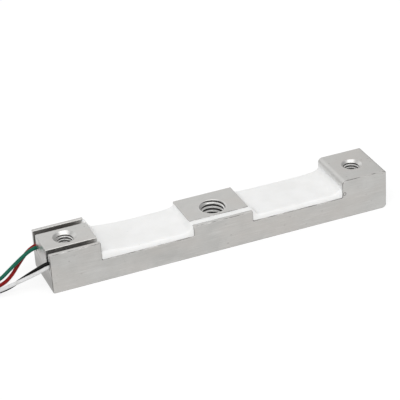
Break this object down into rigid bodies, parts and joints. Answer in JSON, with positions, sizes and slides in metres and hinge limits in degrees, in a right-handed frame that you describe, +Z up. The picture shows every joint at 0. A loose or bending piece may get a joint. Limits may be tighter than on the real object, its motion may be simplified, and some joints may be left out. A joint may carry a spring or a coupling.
{
  "type": "luggage scale load cell",
  "caption": "Small aluminium bending-beam load cell with stepped top, silicone-sealed strain gauge pockets, tapped end and centre holes and coloured leads.",
  "frame": {"origin": "middle of the beam's underside, which is the bottom centre of the beam's box", "axes": "+X along the beam away from the leads, +Y from the side with the centre slot to the plain side, +Z up from the underside to the stepped top"},
  "size_m": [0.1555, 0.0126, 0.0095],
  "materials": {
    "beam": "milled, satin",
    "silicone": "smooth white silicone",
    "red_jacket": "satin",
    "green_jacket": "satin",
    "black_jacket": "satin",
    "white_jacket": "satin",
    "gauge": "amber film with etched foil",
    "board": "glass fibre board with copper pads",
    "tinned_copper": "tinned",
    "enamelled_copper": "enamelled wire",
    "solder": "soft solder"
  },
  "bodies": {
    "root": {"beam": "beam", "silicone_sealant": "silicone", "lead_red": "red_jacket", "lead_green": "green_jacket", "lead_black": "black_jacket", "lead_white": "white_jacket", "strain_gauge_left_outer": "gauge", "strain_gauge_left_inner": "gauge", "strain_gauge_right_inner": "gauge", "strain_gauge_right_outer": "gauge", "lead_terminal_strip": "board", "bridge_terminal_strip": "board", "jumper_wire_supply": "enamelled_copper", "jumper_wire_return": "enamelled_copper", "jumper_wire_signal": "enamelled_copper", "gauge_tails_left": "tinned_copper", "gauge_tails_right": "tinned_copper", "lead_inner_ends": "tinned_copper", "solder_joints_left": "solder", "solder_joints_right": "solder", "lead_tip_red": "tinned_copper", "lead_tip_green": "tinned_copper", "lead_tip_black": "tinned_copper", "lead_tip_white": "tinned_copper"}
  },
  "joints": []
}
